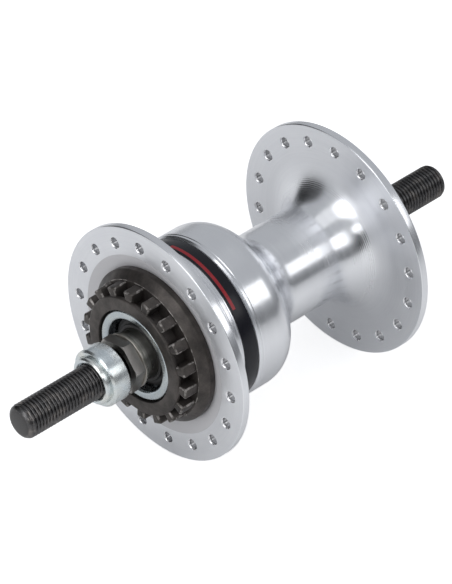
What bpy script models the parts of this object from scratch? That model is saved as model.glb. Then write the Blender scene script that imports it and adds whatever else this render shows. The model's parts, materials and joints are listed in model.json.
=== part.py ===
"""Front wheel hub for a splined drum brake: nutted axle, cup-and-cone bearings, two spoke flanges.

Frame: metres, +Y along the axle, +Z up, origin on the axle's axis at the middle of its length.
The brake side is at -Y. Every length named below is in millimetres.
"""

import math

import bmesh
import bpy
from mathutils import Matrix, Vector

MM = 0.001
TURN = 2 * math.pi
WELD = 1e-6

# Axle; a locknut is (start, end, width across flats, angle of one flat), a washer (start, end, radius)
AXLE_R = 4.5
AXLE_LENGTH = 140.0
AXLE_TIP = 1.1
THREAD_GAP = 0.12
OVER_LOCKNUTS = 100.0
LEFT_FACE_Y = -47.65
RIGHT_FACE_Y = LEFT_FACE_Y + OVER_LOCKNUTS
NUT_TIER_R = 6.2
NUT_TIER_LENGTH = 1.5
NUT_COLLAR_R = 7.55
NUT_COLLAR_LENGTH = 5.3
LEFT_LOCKNUT = (-39.05, -36.05, 13.0, 42)
RIGHT_LOCKNUT = (48.3, RIGHT_FACE_Y, 14.0, 30)
LOCKNUT_CHAMFER = 0.8
LEFT_WASHER = (-35.95, -34.95, 7.2)
RIGHT_WASHER = (46.9, 48.2, 7.8)
WASHER_CHAMFER = 0.3

# Hub shell
FLANGE_R = 31.5
RIM_THICKNESS = 2.1
LEFT_FLANGE_Y = -26.95
RIGHT_FLANGE_Y = 35.5
DRUM_R = 21.3
DRUM_HIGH_R = 22.0
DRUM_STEP_Y = -12.2
DRUM_END_Y = -5.25
SHOULDER_R = 7.2
NECK_R = 12.6
NECK_START_Y = 9.2
NECK_FILLET = 8.0
FLARE_R = 10.0
BORE_R = 8.8
RIGHT_BOSS_R = 16.4
RIGHT_BOSS_Y = 41.2
HUB_STEPS = 48
RING_STEPS = 28

# Spoke holes
SPOKES_PER_FLANGE = 18
SPOKE_CIRCLE_R = 27.0
SPOKE_HOLE_R = 1.3
LEFT_SPOKE_ANGLE = 0.0
RIGHT_SPOKE_ANGLE = 10.0

# Bearings
BALL_R = 4.7625 / 2
BALLS = 10
BALL_CIRCLE_R = 9.5
RACE_GAP = 0.14
LEFT_BALL_Y = -25.0
RIGHT_BALL_Y = 36.2
CUP_R = 13.3
CUP_FRONT = 3.2
CUP_BACK = 4.1
SEAT_GAP = 0.1
CONE_BODY_R = 6.6
CONE_SHOULDER = 4.4
CONE_FLATS = 11.4
CONE_FLATS_LENGTH = 2.6
LEFT_CONE_END = 34.85
RIGHT_CONE_END = 46.8
CAGE_IN_R = 8.7
CAGE_OUT_R = 10.5
CAGE_BACK = 3.4
CAGE_FRONT = 2.6
CAGE_TIPS = -0.4
CAGE_HALF_FINGER = 2.1
CAP_LIP = 0.6
LEFT_FIRST_BALL = 9
RIGHT_FIRST_BALL = 0

# Brake boss
BOSS_FACE_Y = -33.75
BOSS_FACE_R = 16.0
BOSS_TEETH = 18
BOSS_TOOTH_R = 18.3
BOSS_TOOTH_ANGLE = 16.5
BOSS_SLOT_WIDTH = 3.3
BOSS_SHOULDER_Y = -29.5
BOSS_SHOULDER_R = 18.6
BOSS_PLATE_R = 20.5
BOSS_PLATE_Y = -27.35
BOSS_BORE_R = 12.3
RECESS_R = 20.9
RECESS_DEPTH = 1.25
RECESS_RIM_R = 24.0

# Label strip round the drum
LABEL_Y0 = -16.6
LABEL_Y1 = -12.45
LABEL_SEAM = math.radians(8)

PAINT = {
    "black_oxide": ((0.035, 0.032, 0.03), 0.45, 0.9),
    "zinc": ((0.78, 0.80, 0.82), 0.28, 1.0),
    "aluminium": ((0.80, 0.80, 0.82), 0.32, 1.0),
    "phosphate": ((0.09, 0.08, 0.075), 0.55, 0.8),
    "bearing_steel": ((0.62, 0.62, 0.63), 0.15, 1.0),
    "hardened_steel": ((0.30, 0.29, 0.28), 0.3, 1.0),
    "seal_rubber": ((0.03, 0.03, 0.032), 0.7, 0.0),
    "label_film": ((0.02, 0.02, 0.022), 0.3, 0.0),
}


def clear_scene():
    for thing in list(bpy.data.objects):
        bpy.data.objects.remove(thing, do_unlink=True)


def material(name):
    """One Principled material for each sub-part, made from its paint."""
    colour, roughness, metallic = PAINT[name]
    made = bpy.data.materials.new(name)
    made.use_nodes = True
    shader = made.node_tree.nodes["Principled BSDF"]
    shader.inputs["Base Color"].default_value = (*colour, 1.0)
    shader.inputs["Roughness"].default_value = roughness
    shader.inputs["Metallic"].default_value = metallic
    return made


def add_object(name, mesh_builder, paint=None, smooth=40):
    """Turn a bmesh into a named object with outward normals, smooth across shallow edges."""
    bmesh.ops.recalc_face_normals(mesh_builder, faces=mesh_builder.faces)
    mesh = bpy.data.meshes.new(name)
    mesh_builder.to_mesh(mesh)
    mesh_builder.free()
    made = bpy.data.objects.new(name, mesh)
    bpy.context.scene.collection.objects.link(made)
    if paint:
        mesh.materials.append(material(paint))
        mesh.shade_smooth()
        mesh.set_sharp_from_angle(angle=math.radians(smooth))
    return made


def spin_outline(outline, steps, angle=TURN, start=0.0):
    """Spin a (y, r) outline about the Y axis. A point with r = 0 becomes a pole."""
    builder = bmesh.new()
    points = [builder.verts.new((r * MM, y * MM, 0)) for y, r in outline]
    loop = list(zip(points, points[1:]))
    if all(r > 0 for _, r in outline):
        loop.append((points[-1], points[0]))
    edges = [builder.edges.new(pair) for pair in loop]
    if angle < TURN:
        edges += list(builder.faces.new(points).edges)
    turned = Matrix.Rotation(-start, 4, "Y")
    bmesh.ops.transform(builder, matrix=turned, verts=builder.verts)
    geometry = builder.verts[:] + builder.edges[:] + builder.faces[:]
    bmesh.ops.spin(builder, geom=geometry, axis=(0, -1, 0), angle=angle, steps=steps)
    if angle == TURN:
        bmesh.ops.remove_doubles(builder, verts=builder.verts, dist=WELD)
    return builder


def spun(name, outline, paint, steps=RING_STEPS):
    return add_object(name, spin_outline(outline, steps), paint)


def arc(centre_y, centre_r, radius, start_deg, end_deg, steps):
    """Points of an arc in the (y, r) plane, 0 degrees towards +Y and 90 degrees outwards."""
    sweep = [start_deg + (end_deg - start_deg) * i / steps for i in range(steps + 1)]
    angles = [math.radians(a) for a in sweep]
    return [(centre_y + radius * math.cos(a), centre_r + radius * math.sin(a)) for a in angles]


def around(radius, y, angle_deg):
    """A point at an angle about the Y axis, counted from +X towards +Z, in metres."""
    a = math.radians(angle_deg)
    return Vector((radius * math.cos(a), y, radius * math.sin(a))) * MM


def cut(target, cutter):
    """Take a cutter's shape out of a target and keep the cutter as a wire shape."""
    modifier = target.modifiers.new("cut_" + cutter.name, "BOOLEAN")
    modifier.operation = "DIFFERENCE"
    modifier.solver = "EXACT"
    modifier.object = cutter
    cutter.hide_render = True
    cutter.display_type = "WIRE"


def hex_cutter(name, flats, y0, y1, flat_angle):
    """A thick hexagonal tube that trims a round blank down to a hexagon across flats."""
    inner = flats / 2 / math.cos(math.pi / 6)
    rings = []
    builder = bmesh.new()
    for y in (y0, y1):
        for radius in (inner, 2 * inner):
            corners = [around(radius, y, flat_angle + 30 + 60 * k) for k in range(6)]
            rings.append([builder.verts.new(c) for c in corners])
    near_in, near_out, far_in, far_out = rings
    for one, two in ((near_in, near_out), (near_out, far_out), (far_out, far_in), (far_in, near_in)):
        for k in range(6):
            n = (k + 1) % 6
            builder.faces.new((one[k], one[n], two[n], two[k]))
    return add_object(name, builder)


def flats_cutter(name, flats, y0, y1):
    """Two blocks that leave a pair of spanner flats facing +X and -X."""
    depth, width = 10.0, 30.0
    builder = bmesh.new()
    for side in (-1, 1):
        middle = Vector((side * (flats + depth) / 2, (y0 + y1) / 2, 0)) * MM
        size = Matrix.Diagonal((depth * MM, (y1 - y0) * MM, width * MM, 1))
        bmesh.ops.create_cube(builder, size=1, matrix=Matrix.Translation(middle) @ size)
    return add_object(name, builder)


# ---- axle set ----

def make_axle():
    half = AXLE_LENGTH / 2
    outline = [
        (-half, 0), (-half, AXLE_R - AXLE_TIP), (-half + AXLE_TIP, AXLE_R),
        (half - AXLE_TIP, AXLE_R), (half, AXLE_R - AXLE_TIP), (half, 0),
    ]
    return spun("axle", outline, "black_oxide")


def threaded_outline(y0, y1, outer_r, chamfer):
    """A nut blank that clears the axle thread, with a chamfer round both outer edges."""
    bore = AXLE_R + THREAD_GAP
    return [
        (y0, bore), (y0, outer_r - chamfer), (y0 + chamfer * 0.5, outer_r),
        (y1 - chamfer * 0.5, outer_r), (y1, outer_r - chamfer), (y1, bore),
    ]


def make_brake_fixing_nut():
    """The zinc nut that holds the brake unit: a small round tier in front of a wider collar."""
    y = LEFT_FACE_Y
    edge = 0.5
    tier_end = y + NUT_TIER_LENGTH
    collar_end = tier_end + NUT_COLLAR_LENGTH
    bore = AXLE_R + THREAD_GAP
    outline = [
        (y, bore), (y, NUT_TIER_R - edge), (y + edge, NUT_TIER_R), (tier_end, NUT_TIER_R),
        (tier_end, NUT_COLLAR_R - edge), (tier_end + 0.3 * edge, NUT_COLLAR_R - 0.3 * edge),
        (tier_end + edge, NUT_COLLAR_R), (collar_end - 0.8 * edge, NUT_COLLAR_R),
        (collar_end, NUT_COLLAR_R - 0.8 * edge), (collar_end, bore),
    ]
    spun("brake_fixing_nut", outline, "zinc")


def make_locknut(name, y0, y1, flats, flat_angle, paint):
    corner = flats / 2 / math.cos(math.pi / 6)
    nut = spun(name, threaded_outline(y0, y1, corner, LOCKNUT_CHAMFER), paint)
    cut(nut, hex_cutter("hex_of_" + name, flats, y0 - 1, y1 + 1, flat_angle))


def make_washer(name, y0, y1, outer_r, paint):
    spun(name, threaded_outline(y0, y1, outer_r, WASHER_CHAMFER), paint)


def mirrored(outline, side):
    """Outlines are drawn for the right bearing; side -1 mirrors one for the left."""
    return [(side * y, r) for y, r in outline]


def make_cone(name, side, ball_y, end):
    """A bearing cone: race, shoulder and a spanner part that reaches out to the locknut."""
    ball = side * ball_y
    bore = AXLE_R + THREAD_GAP
    groove = arc(ball, BALL_CIRCLE_R, BALL_R + RACE_GAP, 270, 350, 4)
    shoulder_r = groove[-1][1]
    outline = [(ball - 1.6, bore), (ball - 1.6, groove[0][1] - 0.3), (ball - 1.2, groove[0][1])]
    outline += groove
    outline += [(ball + CONE_SHOULDER, shoulder_r), (ball + CONE_SHOULDER, CONE_BODY_R)]
    outline += [(end - 0.4, CONE_BODY_R), (end, CONE_BODY_R - 0.4), (end, bore)]
    cone = spun(name, mirrored(outline, side), "hardened_steel")
    y0, y1 = sorted((side * (end - CONE_FLATS_LENGTH), side * (end + 1)))
    cut(cone, flats_cutter("flats_of_" + name, CONE_FLATS, y0, y1))


def make_cup(name, side, ball_y):
    """A pressed bearing cup, open towards the outside of the hub."""
    ball = side * ball_y
    race = arc(ball, BALL_CIRCLE_R, BALL_R + RACE_GAP, 150, 90, 3)
    back = ball - CUP_BACK
    front = ball + CUP_FRONT
    outline = [(back, race[0][1])] + race
    outline += [(front, race[-1][1]), (front, CUP_R - 0.3), (front - 0.3, CUP_R)]
    outline += [(back + 0.5, CUP_R), (back, CUP_R - 0.5)]
    spun(name, mirrored(outline, side), "hardened_steel")


def make_balls(name, ball_y, first_angle):
    for i in range(BALLS):
        builder = bmesh.new()
        bmesh.ops.create_uvsphere(builder, u_segments=10, v_segments=7, radius=BALL_R * MM)
        ball = add_object(f"{name}_{i + 1:02d}", builder, "bearing_steel", 60)
        ball.location = around(BALL_CIRCLE_R, ball_y, first_angle + 360 / BALLS * i)


def make_cage(name, side, ball_y, first_angle):
    """A ball cage: a ring behind the balls with one finger between each pair of balls."""
    back, front, tips = (ball_y - side * d for d in (CAGE_BACK, CAGE_FRONT, CAGE_TIPS))
    splits = cage_angles(first_angle)
    builder = bmesh.new()
    loops = []
    for radius, y in ((CAGE_IN_R, back), (CAGE_OUT_R, back), (CAGE_OUT_R, front), (CAGE_IN_R, front)):
        loops.append([builder.verts.new(around(radius, y, a)) for a in splits])
    fronts = []
    for one, two in zip(loops, loops[1:] + loops[:1]):
        for k in range(len(splits)):
            n = (k + 1) % len(splits)
            face = builder.faces.new((one[k], one[n], two[n], two[k]))
            if one is loops[2] and k % 4 == 0:
                fronts.append(face)
    grown = bmesh.ops.extrude_discrete_faces(builder, faces=fronts)
    for face in grown["faces"]:
        bmesh.ops.translate(builder, verts=face.verts, vec=(0, (tips - front) * MM, 0))
    add_object(name, builder, "hardened_steel", 30)


def cage_angles(first_angle):
    """Four angles for each ball: both sides of a finger, then two steps over to the next finger."""
    pitch = 360 / BALLS
    finger = CAGE_HALF_FINGER
    splits = []
    for i in range(BALLS):
        middle = first_angle + pitch * (i + 0.5)
        splits += [middle - finger, middle + finger]
        splits += [middle + finger + (pitch - 2 * finger) * k / 3 for k in (1, 2)]
    return splits


def make_dust_cap(name, side, y_in, y_out, bore_r, outer_r):
    """A plated ring pressed in round the bearing, with rounded outer lips."""
    inner, outer = side * y_in, side * y_out
    lip = CAP_LIP
    outline = [(inner, outer_r), (inner, bore_r)]
    outline += arc(outer - lip, bore_r + lip, lip, 270, 360, 2)
    outline += arc(outer - lip, outer_r - lip, lip, 0, 90, 2)
    spun(name, mirrored(outline, side), "zinc")


def make_seal(name, side, y_in, y_out):
    """A stepped rubber seal on the cone, just inside the dust cap."""
    inner, outer = side * y_in, side * y_out
    outline = [
        (inner, 6.7), (inner, 9.3), (inner + 0.7, 9.3), (inner + 0.7, 8.5),
        (inner + 1.3, 8.5), (inner + 1.3, 7.6), (outer, 7.6), (outer, 6.7),
    ]
    spun(name, mirrored(outline, side), "seal_rubber")


# ---- shell and brake boss ----

def shell_outline():
    """The shell's (y, r) outline, from the left bore along the inside and back along the outside."""
    left_seat_end = LEFT_BALL_Y + CUP_BACK + SEAT_GAP
    right_seat_start = RIGHT_BALL_Y - CUP_BACK - SEAT_GAP
    seat_r = CUP_R + SEAT_GAP
    recess_y = LEFT_FLANGE_Y + RECESS_DEPTH
    left_back = LEFT_FLANGE_Y + RIM_THICKNESS
    right_front = RIGHT_FLANGE_Y - RIM_THICKNESS
    inside = [
        (recess_y, seat_r), (left_seat_end, seat_r), (left_seat_end, BORE_R + 1.6),
        (left_seat_end + 2, BORE_R), (right_seat_start - 2, BORE_R),
        (right_seat_start, BORE_R + 1.6), (right_seat_start, seat_r), (RIGHT_BOSS_Y, seat_r),
    ]
    right_end = [
        (RIGHT_BOSS_Y, RIGHT_BOSS_R - 1), (RIGHT_BOSS_Y - 1, RIGHT_BOSS_R),
        (RIGHT_FLANGE_Y + 1.5, RIGHT_BOSS_R), (RIGHT_FLANGE_Y, RIGHT_BOSS_R + 1.5),
        (RIGHT_FLANGE_Y, FLANGE_R - 0.3), (RIGHT_FLANGE_Y - 0.3, FLANGE_R),
        (right_front + 0.3, FLANGE_R), (right_front, FLANGE_R - 0.3),
    ]
    flare = arc(right_front - FLARE_R, NECK_R + FLARE_R, FLARE_R, 0, -90, 6)
    neck_turn = arc(NECK_START_Y, NECK_R + NECK_FILLET, NECK_FILLET, 270, shoulder_angle() + 180, 5)
    shoulder = arc(DRUM_END_Y, DRUM_HIGH_R - SHOULDER_R, SHOULDER_R, shoulder_angle(), 90, 5)
    drum = [
        (DRUM_STEP_Y, DRUM_HIGH_R), (DRUM_STEP_Y, DRUM_R), (left_back + 2.0, DRUM_R),
        (left_back + 0.6, DRUM_R + 0.6), (left_back, DRUM_R + 2.0),
    ]
    left_flange = [
        (left_back, FLANGE_R - 0.3), (left_back - 0.3, FLANGE_R),
        (LEFT_FLANGE_Y + 0.3, FLANGE_R), (LEFT_FLANGE_Y, FLANGE_R - 0.3),
        (LEFT_FLANGE_Y, RECESS_RIM_R), (recess_y, RECESS_R),
    ]
    return inside + right_end + flare + neck_turn + shoulder + drum + left_flange


def shoulder_angle():
    """Where the convex shoulder meets the concave neck turn, on one straight common tangent."""
    rise = (NECK_R + NECK_FILLET) - (DRUM_HIGH_R - SHOULDER_R)
    run = NECK_START_Y - DRUM_END_Y
    return math.degrees(math.atan2(rise, run)) + tangent_offset(math.hypot(run, rise))


def tangent_offset(distance):
    return math.degrees(math.acos(min(1.0, (SHOULDER_R + NECK_FILLET) / distance)))


def spoke_hole_cutter(name, flange_y, first_angle):
    builder = bmesh.new()
    for k in range(SPOKES_PER_FLANGE):
        place = Matrix.Translation(around(SPOKE_CIRCLE_R, flange_y, first_angle + 20 * k))
        lying = place @ Matrix.Rotation(math.pi / 2, 4, "X")
        bmesh.ops.create_cone(
            builder, cap_ends=True, segments=8, radius1=SPOKE_HOLE_R * MM,
            radius2=SPOKE_HOLE_R * MM, depth=8 * MM, matrix=lying,
        )
    return add_object(name, builder)


def make_hub_shell():
    shell = spun("hub_shell", shell_outline(), "aluminium", HUB_STEPS)
    cut(shell, spoke_hole_cutter("left_spoke_holes", LEFT_FLANGE_Y, LEFT_SPOKE_ANGLE))
    cut(shell, spoke_hole_cutter("right_spoke_holes", RIGHT_FLANGE_Y, RIGHT_SPOKE_ANGLE))


def slot_cutter():
    """Blocks that cut the gaps between the boss's teeth, down to the face radius."""
    builder = bmesh.new()
    y0, y1 = BOSS_FACE_Y - 1, BOSS_SHOULDER_Y
    height = 5.0
    for k in range(BOSS_TEETH):
        angle = BOSS_TOOTH_ANGLE + 360 / BOSS_TEETH * (k + 0.5)
        middle = around(BOSS_FACE_R + height / 2, (y0 + y1) / 2, angle)
        size = Matrix.Diagonal((height * MM, (y1 - y0) * MM, BOSS_SLOT_WIDTH * MM, 1))
        turned = Matrix.Rotation(-math.radians(angle), 4, "Y")
        bmesh.ops.create_cube(builder, size=1, matrix=Matrix.Translation(middle) @ turned @ size)
    return add_object("boss_slots", builder)


def make_brake_boss():
    cup_front = LEFT_BALL_Y - CUP_FRONT
    back_y = LEFT_FLANGE_Y + RECESS_DEPTH - SEAT_GAP
    seat_r = CUP_R + SEAT_GAP
    outline = [
        (BOSS_FACE_Y, BOSS_BORE_R), (BOSS_FACE_Y, BOSS_FACE_R - 0.3),
        (BOSS_FACE_Y + 0.3, BOSS_FACE_R), (BOSS_FACE_Y + 0.3, BOSS_TOOTH_R - 0.5),
        (BOSS_FACE_Y + 0.8, BOSS_TOOTH_R), (BOSS_SHOULDER_Y, BOSS_TOOTH_R),
        (BOSS_SHOULDER_Y, BOSS_SHOULDER_R - 0.2), (BOSS_SHOULDER_Y + 0.2, BOSS_SHOULDER_R),
        (BOSS_PLATE_Y - 0.4, BOSS_SHOULDER_R), (BOSS_PLATE_Y, BOSS_SHOULDER_R + 0.4),
        (BOSS_PLATE_Y, BOSS_PLATE_R - 0.2), (BOSS_PLATE_Y + 0.2, BOSS_PLATE_R), (back_y, BOSS_PLATE_R),
        (back_y, seat_r), (cup_front - SEAT_GAP, seat_r), (cup_front - SEAT_GAP, BOSS_BORE_R),
    ]
    boss = spun("brake_spline_boss", outline, "phosphate", HUB_STEPS)
    cut(boss, slot_cutter())


def make_label_band():
    """A thin strip stuck round the drum, with its seam underneath."""
    inner, outer = DRUM_R + 0.08, DRUM_R + 0.33
    outline = [(LABEL_Y0, inner), (LABEL_Y0, outer), (LABEL_Y1, outer), (LABEL_Y1, inner)]
    start = -math.pi / 2 + LABEL_SEAM / 2
    builder = spin_outline(outline, HUB_STEPS, TURN - LABEL_SEAM, start)
    add_object("label_band", builder, "label_film")


def main():
    clear_scene()
    make_axle()
    make_brake_fixing_nut()
    make_locknut("left_locknut", *LEFT_LOCKNUT, "phosphate")
    make_washer("left_washer", *LEFT_WASHER, "phosphate")
    make_cone("left_cone", -1, LEFT_BALL_Y, LEFT_CONE_END)
    make_cup("left_cup", -1, LEFT_BALL_Y)
    make_cage("left_ball_cage", -1, LEFT_BALL_Y, LEFT_FIRST_BALL)
    make_balls("left_ball", LEFT_BALL_Y, LEFT_FIRST_BALL)
    make_seal("left_seal", -1, -29.6, -31.7)
    make_dust_cap("left_dust_cap", -1, -28.4, -33.4, 9.7, 12.1)
    make_brake_boss()
    make_hub_shell()
    make_label_band()
    make_cup("right_cup", 1, RIGHT_BALL_Y)
    make_cage("right_ball_cage", 1, RIGHT_BALL_Y, RIGHT_FIRST_BALL)
    make_balls("right_ball", RIGHT_BALL_Y, RIGHT_FIRST_BALL)
    make_seal("right_seal", 1, 40.7, 42.8)
    make_dust_cap("right_dust_cap", 1, 39.6, 42.2, 9.6, 13.3)
    make_cone("right_cone", 1, RIGHT_BALL_Y, RIGHT_CONE_END)
    make_washer("right_washer", *RIGHT_WASHER, "zinc")
    make_locknut("right_locknut", *RIGHT_LOCKNUT, "zinc")


main()
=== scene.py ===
import json
import math

import bmesh
import bpy
from mathutils import Matrix, Vector


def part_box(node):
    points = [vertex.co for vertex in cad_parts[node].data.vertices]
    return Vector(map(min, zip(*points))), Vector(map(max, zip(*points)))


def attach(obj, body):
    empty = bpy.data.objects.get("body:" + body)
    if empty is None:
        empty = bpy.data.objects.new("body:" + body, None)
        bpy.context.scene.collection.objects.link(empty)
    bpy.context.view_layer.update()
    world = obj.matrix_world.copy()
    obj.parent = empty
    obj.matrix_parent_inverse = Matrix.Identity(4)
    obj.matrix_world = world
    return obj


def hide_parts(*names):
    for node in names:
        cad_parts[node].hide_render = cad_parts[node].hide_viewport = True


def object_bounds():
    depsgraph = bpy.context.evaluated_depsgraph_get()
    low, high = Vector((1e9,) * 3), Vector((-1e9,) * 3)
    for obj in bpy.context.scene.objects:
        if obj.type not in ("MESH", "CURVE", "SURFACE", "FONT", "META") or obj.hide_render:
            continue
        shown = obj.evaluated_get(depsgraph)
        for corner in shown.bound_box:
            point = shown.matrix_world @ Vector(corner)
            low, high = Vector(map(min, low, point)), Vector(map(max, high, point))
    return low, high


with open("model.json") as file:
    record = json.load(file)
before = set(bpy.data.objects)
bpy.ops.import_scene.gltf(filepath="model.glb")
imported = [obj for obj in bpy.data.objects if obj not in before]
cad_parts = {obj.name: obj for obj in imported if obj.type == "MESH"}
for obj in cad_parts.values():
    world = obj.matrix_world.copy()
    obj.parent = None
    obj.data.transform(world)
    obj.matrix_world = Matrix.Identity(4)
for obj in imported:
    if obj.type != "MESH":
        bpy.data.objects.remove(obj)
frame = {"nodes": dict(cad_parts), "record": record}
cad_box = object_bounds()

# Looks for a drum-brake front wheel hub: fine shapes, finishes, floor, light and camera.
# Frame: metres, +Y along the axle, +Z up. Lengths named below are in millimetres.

MM = 0.001
TURN = 2 * math.pi

# Faces round a spun piece, and the angle in degrees above which its edges stay sharp
FINE = 192
MEDIUM = 128
SHARP = 30

# Axle thread
THREAD_PITCH = 1.0
THREAD_DEPTH = 0.5
THREAD_CREST = 0.2
THREAD_FLANK = 0.6
THREAD_ROWS = 12
THREAD_STEPS = 72
THREAD_BEHIND_FACE = 2.0
AXLE_TIP = 1.8
BORE_GAP = 0.12

# Hub shell
RIM_THICKNESS = 2.1
RIM_EDGE = 0.3
DRUM_R = 21.3
DRUM_HIGH_R = 22.0
DRUM_STEP_Y = -12.2
DRUM_END_Y = -5.25
SHOULDER_R = 7.2
NECK_R = 12.6
NECK_START_Y = 9.2
NECK_FILLET = 8.0
FLARE_R = 10.0
SHELL_BORE_R = 8.8
BORE_LEDGE = 1.6
BORE_SLOPE_END = 2.1
SEAT_GAP = 0.1
STEP_DROP = 0.45
DRUM_ROOT_FILLET = 2.0
TOOL_MARK_PITCH = 0.48
TOOL_MARK_DEPTH = 0.010
TOOL_MARK_POINTS = 5
STEP_GROOVE_Y = -11.1
DRUM_GROOVES = (-17.3, -18.3, -19.5)
GROOVE_WIDTH = 0.5
GROOVE_DEPTH = 0.14
BOSS_R = 16.4
BOSS_CORNER = 0.8
BOSS_CORNER_MIDDLE = 0.25
BOSS_FOOT_FILLET = 1.2
RECESS_R = 20.9
RECESS_RIM_R = 24.0
RECESS_DEPTH = 1.25

# Spoke holes
SPOKES_PER_FLANGE = 18
SPOKE_CIRCLE_R = 27.0
SPOKE_HOLE_R = 1.3
SPOKE_SINK = 0.42
SPOKE_STEPS = 28
RIGHT_SPOKE_ANGLE = 10.0
# Part of a step that keeps a hole's corners off the flange's own edges, where a cut leaves slivers
HOLE_PHASE = 0.3

# Brake boss
TEETH = 18
TOOTH_R = 18.3
TOOTH_ROOT_R = 16.0
TOOTH_ANGLE = 16.5
SLOT_WIDTH = 3.3
TOOTH_SETBACK = 0.3
TOOTH_BEVEL = 0.42
BOSS_BORE_R = 12.4
BOSS_LIP_END = 1.0
BOSS_LIP_SLOPE_END = 1.3
SLOT_FLOOR_DROP = 1.2
TOOTH_FOOT_DROP = 1.4
TOOTH_SINK = 0.2
BOSS_SHOULDER_Y = -29.5
BOSS_SHOULDER_R = 18.6
BOSS_SHOULDER_SLOPE = 2.15
# The band at the shoulder's outer edge that takes the pale edge material: a painted highlight line
BOSS_EDGE_BAND_R = 0.15
BOSS_EDGE_BAND_Y = 0.25

# Fixings
TIER_R = 6.2
TIER_LENGTH = 1.5
TIER_BEVEL = 0.4
TIER_GROOVE = 0.15
COLLAR_SLOPE_R = 0.55
COLLAR_SLOPE_END = 0.5
COLLAR_BEVEL = 0.4
MOUTH_LEFT = 0.55
MOUTH_RIGHT = 0.4
LOCKNUT_CHAMFER = 0.5
LOCKNUT_CHAMFER_LENGTH = 0.55
LEFT_NUT_FLATS = 13.0
LEFT_NUT_ANGLE = 42.0
RIGHT_NUT_FLATS = 14.0
RIGHT_NUT_ANGLE = 42.0
WASHER_MOUTH = 0.1

# Cones and the balls that run on them
BALL_CIRCLE_R = 9.5
BALL_R = 2.38125
RACE_GAP = 0.14
CONE_NOSE = 1.6
CONE_NOSE_DROP = 0.3
CONE_NOSE_BEVEL = 0.4
CONE_RACE_LENGTH = 6.0
CONE_COLLAR_R = 6.6

# Seals and dust caps. A seal's steps: distance from its wide end, and drop in radius by then
SEAL_BORE_R = 6.72
SEAL_STEPS = ((0.7, 0.8), (1.3, 1.7))
LEFT_CAP_BORE_R = 9.7
RIGHT_CAP_BORE_R = 9.6

# Label: the red line across the film's width, as parts of it, and round the drum, in degrees
LINE_ACROSS = (0.12, 0.34)
LINE_AROUND = (41, 106)
LABEL_LIFT = 0.02

# Noise scales of turned metal: fine lines, broad lines and clouds of tone
FINE_LINES = 2600
BROAD_LINES = 700
CLOUDS = 90

# The dull dish round the brake boss: its inner radius, the y that it lies to the left of, its
# colour and its metallic share
DISH_R = 20.0
DISH_FRONT_Y = -25.0
DISH_COLOUR = (0.60, 0.595, 0.61)
DISH_METALLIC = 0.3

# Camera: angles in degrees, distance and aim in millimetres
VIEW_AZIMUTH = 46.78
VIEW_ELEVATION = 38.589
VIEW_DISTANCE = 943.2
VIEW_LENS = 240.26
VIEW_SENSOR = 36
AIM_Y = -22.75
AIM_RIGHT = 14.366
AIM_UP = 10.902

# Floor, in metres. The camera sees an even glow, FLOOR_SEEN_GLOW. In reflections the glow is weak beside
# the hub, a painted shadow, grows to the far NEAR_EDGES, and is gone past a wide pool
FLOOR_SIZE = 3.0
FLOOR_GAP = 0.0001
FLOOR_PALE = (0.80, 0.80, 0.80)
FLOOR_PALER = (0.84, 0.84, 0.84)
FLOOR_REFLECTED = (0.74, 0.74, 0.74)
FLOOR_SEEN_GLOW = 0.66
NEAR_EDGES = (0.02, 0.08)
NEAR_GLOW = (0.05, 0.26)
POOL_CENTRE = (-0.15, -0.25, 0.0)
POOL_EDGES = (0.30, 0.62)

# Surroundings: light from below and from above, how softly they meet, and a cool tint
SKY_UP = (-0.35, 0.0, 1.0)
SKY_BLEND = 0.15
SKY_LOW = 0.20
SKY_HIGH = 0.48
SKY_TINT = (0.97, 1.0, 1.05)

# Dark cards round the stage: direction, cosines of its inner and outer edge, light that is left
DARK_CARDS = (
    ((-0.91, -0.32, 0.26), 0.93, 0.84, 0.12),
    ((-0.98, 0.08, 0.08), 0.95, 0.89, 0.3),
    ((0.66, -0.74, 0.0), 0.94, 0.88, 0.25),
)


# ---- reading the frame ----

def ends(node):
    """A CAD node's lowest and highest y, in millimetres."""
    low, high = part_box(node)
    return low.y / MM, high.y / MM


def outer_radius(node):
    """A CAD node's outer radius about the axle, in millimetres."""
    low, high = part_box(node)
    return (high.z - low.z) / 2 / MM


# ---- shapes ----

def mesh_object(name, builder, finish, sharp=SHARP):
    """Turn a bmesh into an object with outward normals, smooth up to the sharp angle."""
    bmesh.ops.recalc_face_normals(builder, faces=builder.faces)
    mesh = bpy.data.meshes.new(name)
    builder.to_mesh(mesh)
    builder.free()
    mesh.shade_smooth()
    mesh.set_sharp_from_angle(angle=math.radians(sharp))
    for one in finish if isinstance(finish, tuple) else (finish,):
        mesh.materials.append(one)
    made = bpy.data.objects.new(name, mesh)
    bpy.context.scene.collection.objects.link(made)
    return made


def around(radius, y, angle):
    """A point at an angle in radians about the Y axis, from +X towards +Z, in metres."""
    return Vector((radius * math.cos(angle), y, radius * math.sin(angle))) * MM


def spin(outline, steps):
    """Spin an outline of (y, r) points about the Y axis; ends at r = 0 become poles."""
    builder = bmesh.new()
    rings = []
    for k in range(steps):
        rings.append([builder.verts.new(around(r, y, TURN * k / steps)) for y, r in outline])
    pairs = list(zip(range(len(outline)), range(1, len(outline))))
    if outline[0][1] > 0:
        pairs.append((len(outline) - 1, 0))
    for k in range(steps):
        here, there = rings[k], rings[(k + 1) % steps]
        for i, j in pairs:
            builder.faces.new((here[i], here[j], there[j], there[i]))
    if outline[0][1] == 0:
        bmesh.ops.remove_doubles(builder, verts=builder.verts, dist=1e-7)
    return builder


def lathe(name, outline, finish, steps=MEDIUM):
    """Spin an outline into an object."""
    return mesh_object(name, spin(outline, steps), finish)


def arc(centre_y, centre_r, radius, start, end, steps):
    """Points of an arc in the (y, r) plane, 0 degrees towards +Y and 90 degrees outwards."""
    sweep = [math.radians(start + (end - start) * i / steps) for i in range(steps + 1)]
    return [(centre_y + radius * math.cos(a), centre_r + radius * math.sin(a)) for a in sweep]


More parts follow.
